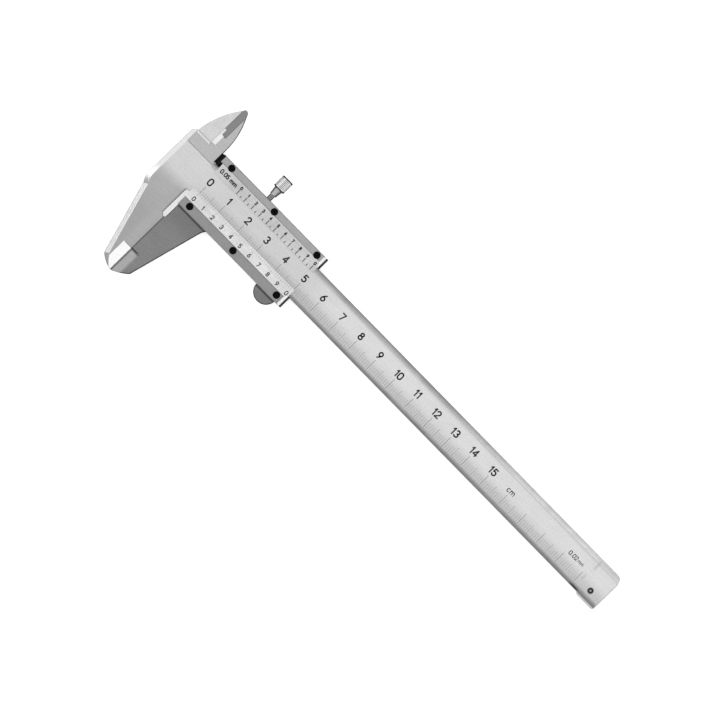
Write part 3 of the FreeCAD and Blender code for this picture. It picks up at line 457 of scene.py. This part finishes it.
nodes["tail_plate"].material_slots[0].material = tail_steel()
nodes["tail_screw"].material_slots[0].material = sunk_screw()

BLACK, FAINT = black_fill(), faint_fill()


# --- engraved marks --------------------------------------------------------------------

FILL_HIGH = 0.008    # how far the fill stands out of the metal
FILL_DEEP = 0.03     # how deep it reaches


class Surface:
    """A flat face to mark: a datum point on it, and the slope of its height against y."""

    def __init__(self, y, z, slope=0.0):
        self.y, self.z, self.slope = y, z, slope

    def point(self, x, y, height):
        across = 1 / math.hypot(1, self.slope)
        z = self.z + (y - self.y) * self.slope
        return Vector((x, y - height * self.slope * across, z + height * across))


def arc(x, y, rx, ry, start, stop, steps=10):
    """Points of part of an ellipse, with angles in degrees."""
    angles = [math.radians(start + (stop - start) * n / steps) for n in range(steps + 1)]
    return [(x + rx * math.cos(a), y + ry * math.sin(a)) for a in angles]


# Strokes of each sign, one unit high, and how far the pen moves on.
SIGNS = {
    "0": ([arc(0.31, 0.68, 0.29, 0.30, 0, 180) + arc(0.31, 0.32, 0.29, 0.30, 180, 360)
           + [(0.60, 0.68)]], 0.62),
    "1": ([[(0.06, 0.76), (0.26, 0.98), (0.26, 0.02)]], 0.40),
    "2": ([arc(0.30, 0.70, 0.27, 0.28, 165, -30)
           + [(0.03, 0.03), (0.59, 0.03)]], 0.62),
    "3": ([arc(0.29, 0.745, 0.25, 0.235, 150, -80)
           + arc(0.29, 0.275, 0.29, 0.255, 80, -150)], 0.60),
    "4": ([[(0.46, 0.02), (0.46, 0.98), (0.03, 0.27), (0.62, 0.27)]], 0.65),
    "5": ([[(0.54, 0.97), (0.12, 0.97), (0.07, 0.56)]
           + arc(0.29, 0.32, 0.28, 0.30, 120, -150)], 0.60),
    "6": ([[(0.50, 0.97), (0.24, 0.70)] + arc(0.31, 0.31, 0.27, 0.29, 150, 510)], 0.62),
    "7": ([[(0.03, 0.97), (0.58, 0.97), (0.20, 0.02)]], 0.60),
    "8": ([arc(0.31, 0.745, 0.23, 0.225, 0, 360), arc(0.31, 0.27, 0.28, 0.25, 0, 360)], 0.62),
    "9": ([[(0.12, 0.03), (0.38, 0.30)] + arc(0.31, 0.69, 0.27, 0.29, -30, 330)], 0.62),
    ".": ([[(0.10, 0.05), (0.10, 0.06)]], 0.30),
    "c": ([arc(0.28, 0.33, 0.26, 0.30, 50, 310)], 0.56),
    "m": ([[(0.04, 0.02), (0.04, 0.64)], arc(0.24, 0.44, 0.20, 0.20, 180, 0) + [(0.44, 0.02)],
           arc(0.64, 0.44, 0.20, 0.20, 180, 0) + [(0.84, 0.02)]], 0.94),
    " ": ([], 0.30),
}
SPACE = 0.14


class Marks:
    """One mesh of filled lines and figures, which all lie on marked faces."""

    def __init__(self, name, body, slot, material):
        self.name, self.body, self.slot, self.material = name, body, slot, material
        self.points, self.faces = [], []

    def prism(self, surface, outline, lift):
        """Flat block with this outline, counter-clockwise, let into the surface."""
        base = len(self.points)
        count = len(outline)
        for height in (-FILL_DEEP, FILL_HIGH + lift):
            self.points += [surface.point(x, y, height) for x, y in outline]
        self.faces.append([base + count + n for n in range(count)])
        self.faces.append([base + n for n in reversed(range(count))])
        for n in range(count):
            after = (n + 1) % count
            self.faces.append([base + n, base + after, base + count + after, base + count + n])

    def tick(self, surface, x, low, high, width):
        self.prism(surface, [(x - width / 2, low), (x + width / 2, low),
                             (x + width / 2, high), (x - width / 2, high)], 0)

    def stroke(self, surface, path, width, lift):
        """Line of even width with round ends, one block for each straight run."""
        for start, end in zip(path, path[1:]):
            dx, dy = end[0] - start[0], end[1] - start[1]
            heading = math.degrees(math.atan2(dy, dx))
            outline = (arc(*start, width / 2, width / 2, heading + 90, heading + 270, 4)
                       + arc(*end, width / 2, width / 2, heading - 90, heading + 90, 4))
            self.prism(surface, outline, lift)

    def text(self, surface, words, x, y, height, width):
        """Words in single-stroke figures, centred on x and y."""
        drawn = [SIGNS[sign] for sign in words]
        long = sum(pen for _, pen in drawn) + SPACE * (len(words) - 1)
        pen = -long / 2
        size = height - width
        for number, (strokes, step) in enumerate(drawn):
            for path in strokes:
                placed = [(x + (pen + px) * size, y + (py - 0.5) * size) for px, py in path]
                self.stroke(surface, placed, width, 0.0005 * (number % 2))
            pen += step + SPACE

    def make(self):
        mesh = bpy.data.meshes.new(self.name)
        mesh.from_pydata([ZERO + point * MM for point in self.points], [], self.faces)
        mesh.materials.append(self.material)
        mesh.validate()
        piece = bpy.data.objects.new(self.name, mesh)
        bpy.context.scene.collection.objects.link(piece)
        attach(piece, self.body)
        return piece


def slanted_face(node, inner, outer):
    """The slanted face of a vernier plate, from its reading edge to its fold."""
    mesh = nodes[node].data
    spots = [(vertex.co - ZERO) / MM for vertex in mesh.vertices]
    top = max(spot.z for spot in spots)
    edge = inner(spot.y for spot in spots)
    edge_high = max(spot.z for spot in spots if abs(spot.y - edge) < 0.01)
    fold = inner(spot.y for spot in spots if spot.z > top - 0.01)
    return Surface(edge, edge_high, (top - edge_high) / (fold - edge)), edge, fold


beam_face = Surface(0, corners("main_beam")[1].z)
upper_face, upper_edge, upper_fold = slanted_face("upper_vernier_plate", min, max)
lower_face, lower_edge, lower_fold = slanted_face("lower_vernier_plate", max, min)

# Main scale: every millimetre, with figures each centimetre.
LAST_MILLIMETRE = 200
LAST_FIGURE = 15
SCALE_LOW = -7.15
# A line belongs to the first of these steps that divides it: step, upper end, width.
MAIN_LINES = [(10, -2.4, 0.14), (5, -3.2, 0.09), (1, -4.2, 0.06)]

ticks = Marks("main_scale_ticks", "beam", "black_screws", BLACK)
for millimetre in range(LAST_MILLIMETRE + 1):
    _, line_top, line_width = next(line for line in MAIN_LINES if millimetre % line[0] == 0)
    ticks.tick(beam_face, millimetre, SCALE_LOW, line_top, line_width)
ticks.make()

figures = Marks("main_scale_figures", "beam", "black_screws", BLACK)
for centimetre in range(LAST_FIGURE + 1):
    figures.text(beam_face, str(centimetre), 10 * centimetre, 0, 3.3, 0.56)
figures.make()

units = Marks("main_scale_units", "beam", "black_screws", FAINT)
units.text(beam_face, "cm", 160.2, -0.5, 2.5, 0.34)
units.make()
reading = Marks("main_scale_reading", "beam", "black_screws", BLACK)
reading.text(beam_face, "0.02", 193.3, -0.6, 1.9, 0.3)
reading.text(beam_face, "mm", 197.2, -0.65, 1.5, 0.2)
reading.make()

# Lower vernier: fifty divisions over 49 mm, so that one is worth 0.02 mm.
LOWER_PITCH = 0.98
LABELS = 10
vernier = Marks("lower_vernier_ticks", "slider", "black_screws", BLACK)
for division in range(51):
    reach = 1.75 if division % 5 == 0 else 1.1
    vernier.tick(lower_face, division * LOWER_PITCH, lower_edge - reach, lower_edge - 0.05, 0.06)
vernier.make()
labels = Marks("lower_vernier_figures", "slider", "black_screws", BLACK)
for number in range(LABELS + 1):
    labels.text(lower_face, str(number % LABELS), number * 5 * LOWER_PITCH, -8.7, 2.0, 0.36)
labels.make()

# Upper vernier: twenty divisions over 39 mm, so that one is worth 0.05 mm.
UPPER_PITCH = 1.95
UPPER_ZERO = 9.7
vernier = Marks("upper_vernier_ticks", "slider", "black_screws", BLACK)
for division in range(21):
    reach = 2.1 if division % 2 == 0 else 1.0
    vernier.tick(upper_face, UPPER_ZERO + division * UPPER_PITCH,
                 upper_edge + 0.15, upper_edge + reach, 0.32)
vernier.make()
labels = Marks("upper_vernier_figures", "slider", "black_screws", BLACK)
for number in range(LABELS + 1):
    labels.text(upper_face, str(number % LABELS), UPPER_ZERO + number * 2 * UPPER_PITCH,
                6.65, 1.5, 0.4)
labels.text(upper_face, "0.05 mm", 3.7, 5.95, 2.0, 0.42)
labels.make()


# --- table, light and camera -----------------------------------------------------------

TABLE_HALF = 3.0


def make_table():
    """White table under the caliper, which glows a little like a lit light table."""
    material = bpy.data.materials.new("white_table")
    material.use_nodes = True
    shader = material.node_tree.nodes["Principled BSDF"]
    shader.inputs["Base Color"].default_value = (0.9, 0.9, 0.9, 1)
    shader.inputs["Roughness"].default_value = 0.9
    shader.inputs["Specular IOR Level"].default_value = 0.1
    shader.inputs["Emission Color"].default_value = (1, 1, 1, 1)
    shader.inputs["Emission Strength"].default_value = 0.62
    mesh = bpy.data.meshes.new("table")
    mesh.from_pydata([(-TABLE_HALF, -TABLE_HALF, 0), (TABLE_HALF, -TABLE_HALF, 0),
                      (TABLE_HALF, TABLE_HALF, 0), (-TABLE_HALF, TABLE_HALF, 0)],
                     [], [(0, 1, 2, 3)])
    mesh.materials.append(material)
    table = bpy.data.objects.new("table", mesh)
    bpy.context.scene.collection.objects.link(table)
    table.visible_glossy = False


# Name, place in metres, width, depth and power in watts.
SOFTBOXES = [
    ("long_softbox", (0.0, 0.0, 3.0), 7.0, 2.2, 33),
    ("head_softbox", (-2.3, 0.3, 1.3), 1.7, 2.6, 17),
    ("tail_softbox", (2.3, 0.3, 1.1), 1.3, 2.6, 12),
    ("brow_softbox", (0.0, 2.9, 2.6), 5.0, 0.8, 8),
]


def make_light(name, place, width, depth, power):
    """Rectangular softbox that faces the middle of the table."""
    data = bpy.data.lights.new(name, "AREA")
    data.shape = "RECTANGLE"
    data.size, data.size_y = width, depth
    data.energy = power
    light = bpy.data.objects.new(name, data)
    bpy.context.scene.collection.objects.link(light)
    light.location = place
    light.rotation_euler = (-Vector(place)).to_track_quat("-Z", "Y").to_euler()


def make_world():
    """Pale room: brighter overhead than at the horizon."""
    world = bpy.data.worlds.new("room")
    bpy.context.scene.world = world
    world.use_nodes = True
    nodes_in, links = world.node_tree.nodes, world.node_tree.links
    where = nodes_in.new("ShaderNodeTexCoord")
    parts = nodes_in.new("ShaderNodeSeparateXYZ")
    ramp = nodes_in.new("ShaderNodeMapRange")
    ramp.inputs["From Min"].default_value = -0.3
    ramp.inputs["From Max"].default_value = 1.0
    ramp.inputs["To Min"].default_value = 0.12
    ramp.inputs["To Max"].default_value = 0.62
    back = nodes_in["Background"]
    links.new(where.outputs["Generated"], parts.inputs[0])
    links.new(parts.outputs[2], ramp.inputs["Value"])
    links.new(ramp.outputs[0], back.inputs["Color"])
    back.inputs["Strength"].default_value = 1.0


CAMERA_HEIGHT = 2.5
WIDTH_SEEN = 267.9 * MM
BEAM_LEAN = math.radians(45.603)
PICTURE_MIDDLE = Vector((85.9, -6.5, 0))


def make_camera():
    """Long lens straight above, turned so that the beam runs down to the right."""
    data = bpy.data.cameras.new("camera")
    camera = bpy.data.objects.new("camera", data)
    bpy.context.scene.collection.objects.link(camera)
    data.sensor_width = 36.0
    data.lens = data.sensor_width * CAMERA_HEIGHT / WIDTH_SEEN
    data.clip_start, data.clip_end = 0.1, 50.0
    right = Vector((math.cos(BEAM_LEAN), math.sin(BEAM_LEAN), 0))
    up = Vector((-math.sin(BEAM_LEAN), math.cos(BEAM_LEAN), 0))
    turn = Matrix((right, up, Vector((0, 0, 1)))).transposed()
    place = ZERO + PICTURE_MIDDLE * MM + Vector((0, 0, CAMERA_HEIGHT))
    camera.matrix_world = Matrix.Translation(place) @ turn.to_4x4()
    bpy.context.scene.camera = camera


make_table()
make_world()
for softbox in SOFTBOXES:
    make_light(*softbox)
make_camera()
bpy.context.scene.view_settings.view_transform = "Standard"
